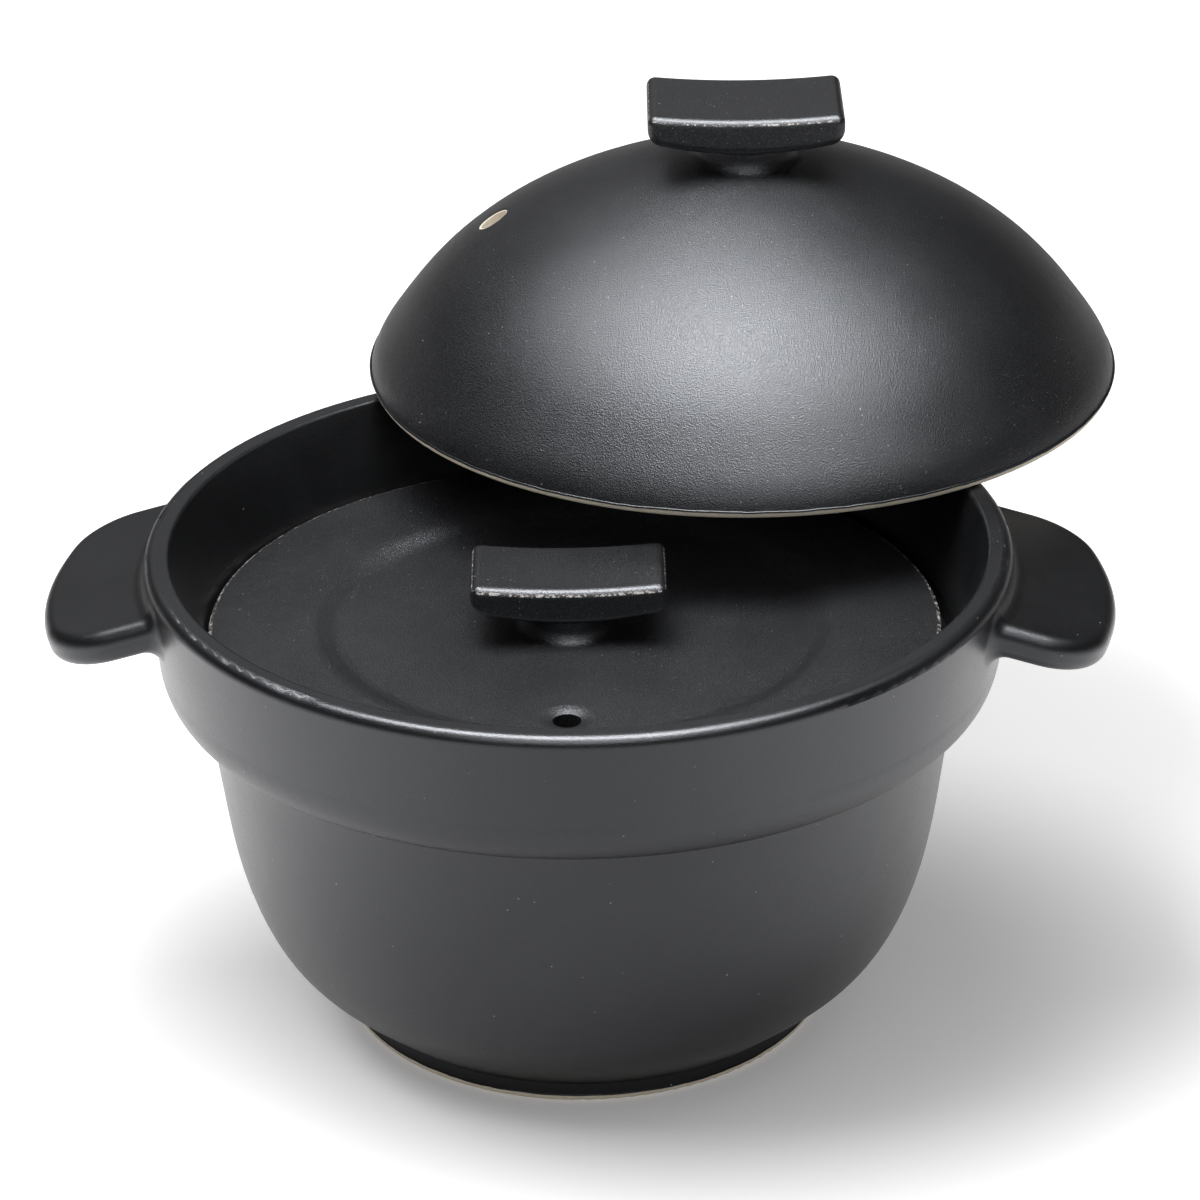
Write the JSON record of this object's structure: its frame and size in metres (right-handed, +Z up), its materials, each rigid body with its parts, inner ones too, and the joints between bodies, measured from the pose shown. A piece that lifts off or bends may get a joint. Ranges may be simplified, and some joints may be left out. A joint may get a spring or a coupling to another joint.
{
  "type": "double-lid clay rice pot",
  "caption": "Glazed clay rice pot with two side lugs, a flat inner lid with a steam hole and a domed outer lid laid ajar across the rim.",
  "frame": {"origin": "middle of the foot ring, on the surface the pot stands on", "axes": "+Z up, X through the two lugs, -Y is the pictured side; the outer lid lies ajar towards +Y"},
  "size_m": [0.2657, 0.3084, 0.1968],
  "materials": {
    "pot_glaze": "satin black glaze with a fine grain",
    "inner_lid_glaze": "satin black glaze with a fine grain",
    "outer_lid_glaze": "satin black glaze with a fine grain"
  },
  "bodies": {
    "pot": {"pot_bowl": "pot_glaze", "pot_collar": "pot_glaze", "left_lug": "pot_glaze", "right_lug": "pot_glaze"},
    "inner_lid": {"inner_lid": "inner_lid_glaze", "inner_lid_knob": "inner_lid_glaze"},
    "outer_lid": {"outer_lid": "outer_lid_glaze", "outer_lid_knob": "outer_lid_glaze"}
  },
  "joints": [
    {"name": "inner_lid_lift", "type": "slide", "parent": "pot", "child": "inner_lid", "axis": [0, 0, 1], "range_m": [0, 0.08]},
    {"name": "outer_lid_lift", "type": "slide", "parent": "inner_lid", "child": "outer_lid", "axis": [0, 0, 1], "range_m": [0, 0.1]}
  ]
}
